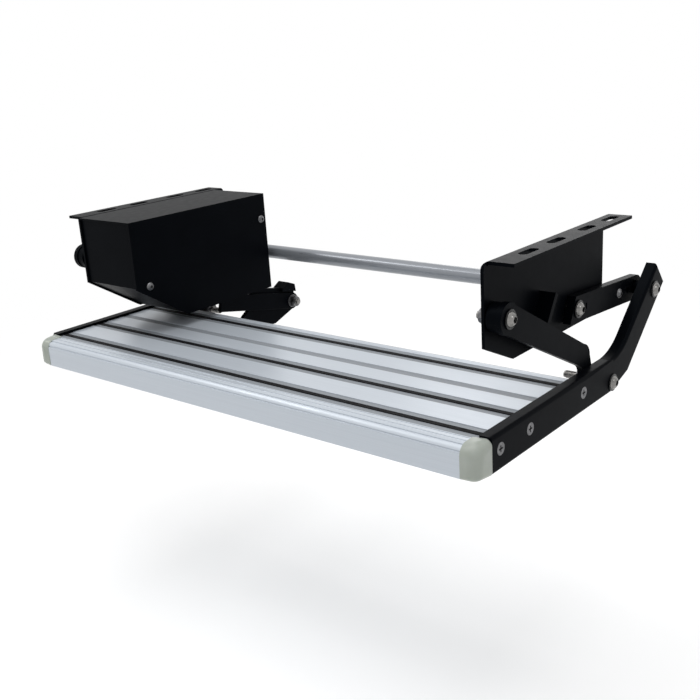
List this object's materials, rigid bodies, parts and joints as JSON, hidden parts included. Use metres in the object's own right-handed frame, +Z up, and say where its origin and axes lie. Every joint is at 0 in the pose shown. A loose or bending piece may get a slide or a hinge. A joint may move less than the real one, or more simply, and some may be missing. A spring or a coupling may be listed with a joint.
{
  "type": "caravan pull out step",
  "caption": "Motor-driven entrance step that swings out from under a caravan floor on paired links: aluminium tread, black side arms, slotted brackets and a boxed gearmotor.",
  "frame": {"origin": "centre of the mounting slots of both flanges, on the face that meets the vehicle floor", "axes": "+X out of the vehicle, +Y to the right as seen from outside, along the tread, +Z up"},
  "size_m": [0.3616, 0.6104, 0.1779],
  "materials": {
    "black_paint": "satin",
    "anodised_aluminium": "satin",
    "zinc_steel": "satin",
    "dark_steel": "satin",
    "cast_aluminium": "rough",
    "bronze": "satin",
    "black_rubber": "matte",
    "milky_plastic": "satin"
  },
  "bodies": {
    "frame": {"left_bracket": "black_paint", "right_bracket": "black_paint", "motor_housing": "black_paint", "motor_cover": "black_paint", "cover_screws": "zinc_steel", "gear_case": "cast_aluminium", "gear_case_lid": "cast_aluminium", "gear_case_screws": "zinc_steel", "motor_can": "dark_steel", "motor_end_bell": "cast_aluminium", "front_pivot_bolts": "zinc_steel", "front_pivot_washers": "zinc_steel", "front_pivot_nuts": "zinc_steel", "rear_pivot_bolt": "zinc_steel", "rear_pivot_washers": "zinc_steel", "rear_pivot_nut": "zinc_steel"},
    "lower_links": {"left_lower_link": "black_paint", "right_lower_link": "black_paint", "lower_link_bushes": "bronze"},
    "upper_links": {"left_upper_link": "black_paint", "right_upper_link": "black_paint", "upper_link_bushes": "bronze", "upper_link_bosses": "black_paint", "cross_tube": "zinc_steel", "tube_standoffs": "dark_steel", "tube_screws": "zinc_steel", "drive_shaft": "zinc_steel", "drive_shaft_screw": "zinc_steel"},
    "step": {"left_side_arm": "black_paint", "right_side_arm": "black_paint", "front_plank": "anodised_aluminium", "rear_plank": "anodised_aluminium", "front_grip_strip": "black_rubber", "middle_grip_strip": "black_rubber", "rear_grip_strip": "black_rubber", "left_nosing_cap": "milky_plastic", "right_nosing_cap": "milky_plastic", "left_rail_screws": "zinc_steel", "right_rail_screws": "zinc_steel", "lower_pivot_bolts": "zinc_steel", "lower_pivot_washers": "zinc_steel", "lower_pivot_spacers": "dark_steel", "lower_pivot_nuts": "zinc_steel", "upper_pivot_bolts": "zinc_steel", "upper_pivot_washers": "zinc_steel", "upper_pivot_nuts": "zinc_steel", "drive_lug": "black_paint", "drive_lug_screws": "zinc_steel", "drive_bar": "black_paint", "drive_pin": "zinc_steel", "drive_pin_washer": "zinc_steel", "drive_pin_nut": "zinc_steel"}
  },
  "joints": [
    {"name": "lower_link_swing", "type": "hinge", "parent": "frame", "child": "lower_links", "pos_m": [0.115, 0, -0.048], "axis": [0, -1, 0], "range_deg": [0, 70]},
    {"name": "upper_link_swing", "type": "hinge", "parent": "frame", "child": "upper_links", "pos_m": [-0.0205, 0, -0.0745], "axis": [0, -1, 0], "range_deg": [0, 126]},
    {"name": "tread_hinge", "type": "hinge", "parent": "lower_links", "child": "step", "pos_m": [-0.05494, 0, -0.15419], "axis": [0, -1, 0], "range_deg": [-70, 0]}
  ],
  "couplings": [
    {"joint": "upper_link_swing", "follows": "lower_link_swing", "ratio": 1.8},
    {"joint": "tread_hinge", "follows": "lower_link_swing", "ratio": -1}
  ]
}
